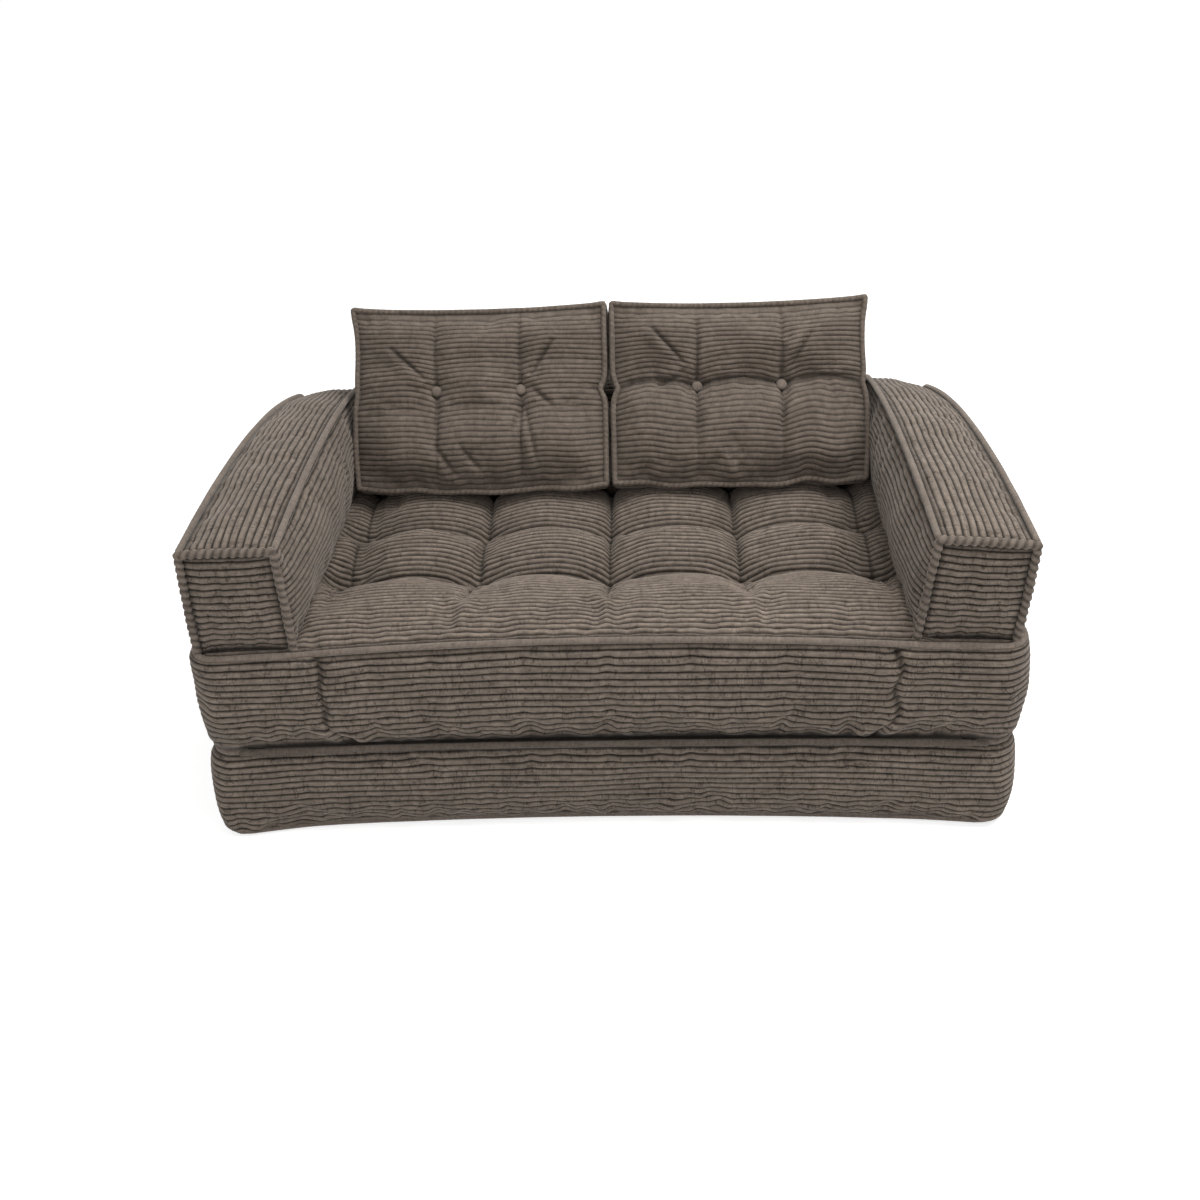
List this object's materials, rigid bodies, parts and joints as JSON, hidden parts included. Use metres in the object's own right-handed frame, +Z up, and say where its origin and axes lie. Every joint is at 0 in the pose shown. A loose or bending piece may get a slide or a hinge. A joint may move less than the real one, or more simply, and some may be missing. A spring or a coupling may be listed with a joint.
{
  "type": "floor sofa",
  "caption": "Low corduroy floor sofa: fold-out base layer under a tufted seat layer, lift-off arm bolsters and leaning back pillows.",
  "frame": {"origin": "on the floor, under the middle of the overall width and depth", "axes": "+X to the right as seen from the front, +Y to the rear, +Z up"},
  "size_m": [1.504, 0.931, 0.7948],
  "materials": {
    "corduroy": "matte",
    "corduroy_piping": "matte",
    "foam": "matte",
    "under_cloth": "matte",
    "woven_tape": "matte",
    "zip_tape": "matte",
    "zip_metal": "satin"
  },
  "bodies": {
    "seat": {"seat_cover": "corduroy", "seat_top_panel": "corduroy", "seat_core": "foam", "seat_piping": "corduroy_piping", "seat_buttons": "corduroy", "seat_hinge_tape": "woven_tape", "fold_welt": "corduroy_piping", "seat_loop_strips": "woven_tape", "seat_zip": "zip_tape", "back_wedge_cover": "corduroy", "back_wedge_core": "foam", "back_wedge_piping": "corduroy_piping", "back_wedge_zip": "zip_tape"},
    "base": {"base_cover": "corduroy", "base_core": "foam", "base_piping": "corduroy_piping", "base_under_cloth": "under_cloth", "base_hinge_tape": "woven_tape", "base_zip": "zip_tape"},
    "left_arm": {"left_arm_cover": "corduroy", "left_arm_core": "foam", "left_arm_piping": "corduroy_piping", "left_arm_hook_strips": "woven_tape", "left_arm_zip": "zip_tape"},
    "left_pillow": {"left_pillow_boxing": "corduroy", "left_pillow_front_panel": "corduroy", "left_pillow_back_panel": "corduroy", "left_pillow_core": "foam", "left_pillow_piping": "corduroy_piping", "left_pillow_buttons": "corduroy", "left_pillow_zip": "zip_tape"},
    "right_arm": {"right_arm_cover": "corduroy", "right_arm_core": "foam", "right_arm_piping": "corduroy_piping", "right_arm_hook_strips": "woven_tape", "right_arm_zip": "zip_tape"},
    "right_pillow": {"right_pillow_boxing": "corduroy", "right_pillow_front_panel": "corduroy", "right_pillow_back_panel": "corduroy", "right_pillow_core": "foam", "right_pillow_piping": "corduroy_piping", "right_pillow_buttons": "corduroy", "right_pillow_zip": "zip_tape"},
    "seat_zip_slider": {"seat_zip_slider": "zip_metal"},
    "base_zip_slider": {"base_zip_slider": "zip_metal"},
    "back_wedge_zip_slider": {"back_wedge_zip_slider": "zip_metal"},
    "left_arm_zip_slider": {"left_arm_zip_slider": "zip_metal"},
    "right_arm_zip_slider": {"right_arm_zip_slider": "zip_metal"},
    "left_pillow_zip_slider": {"left_pillow_zip_slider": "zip_metal"},
    "right_pillow_zip_slider": {"right_pillow_zip_slider": "zip_metal"}
  },
  "joints": [
    {"name": "fold_out", "type": "hinge", "parent": "seat", "child": "base", "pos_m": [0, -0.4595, 0.202], "axis": [-1, 0, 0], "range_deg": [0, 180]},
    {"name": "left_arm_lift", "type": "slide", "parent": "seat", "child": "left_arm", "axis": [0, 0, 1], "range_m": [0, 0.35]},
    {"name": "left_pillow_lift", "type": "slide", "parent": "seat", "child": "left_pillow", "axis": [0, 0, 1], "range_m": [0, 0.45]},
    {"name": "right_arm_lift", "type": "slide", "parent": "seat", "child": "right_arm", "axis": [0, 0, 1], "range_m": [0, 0.35]},
    {"name": "right_pillow_lift", "type": "slide", "parent": "seat", "child": "right_pillow", "axis": [0, 0, 1], "range_m": [0, 0.45]},
    {"name": "seat_zip_run", "type": "slide", "parent": "seat", "child": "seat_zip_slider", "axis": [-1, 0, 0], "range_m": [0, 0.562]},
    {"name": "base_zip_run", "type": "slide", "parent": "base", "child": "base_zip_slider", "axis": [-1, 0, 0], "range_m": [0, 0.562]},
    {"name": "back_wedge_zip_run", "type": "slide", "parent": "seat", "child": "back_wedge_zip_slider", "axis": [-1, 0, 0], "range_m": [0, 0.562]},
    {"name": "left_arm_zip_run", "type": "slide", "parent": "left_arm", "child": "left_arm_zip_slider", "axis": [-1, 0, 0], "range_m": [0, 0.062]},
    {"name": "right_arm_zip_run", "type": "slide", "parent": "right_arm", "child": "right_arm_zip_slider", "axis": [-1, 0, 0], "range_m": [0, 0.062]},
    {"name": "left_pillow_zip_run", "type": "slide", "parent": "left_pillow", "child": "left_pillow_zip_slider", "axis": [-1, 0, 0], "range_m": [0, 0.202]},
    {"name": "right_pillow_zip_run", "type": "slide", "parent": "right_pillow", "child": "right_pillow_zip_slider", "axis": [-1, 0, 0], "range_m": [0, 0.202]}
  ]
}
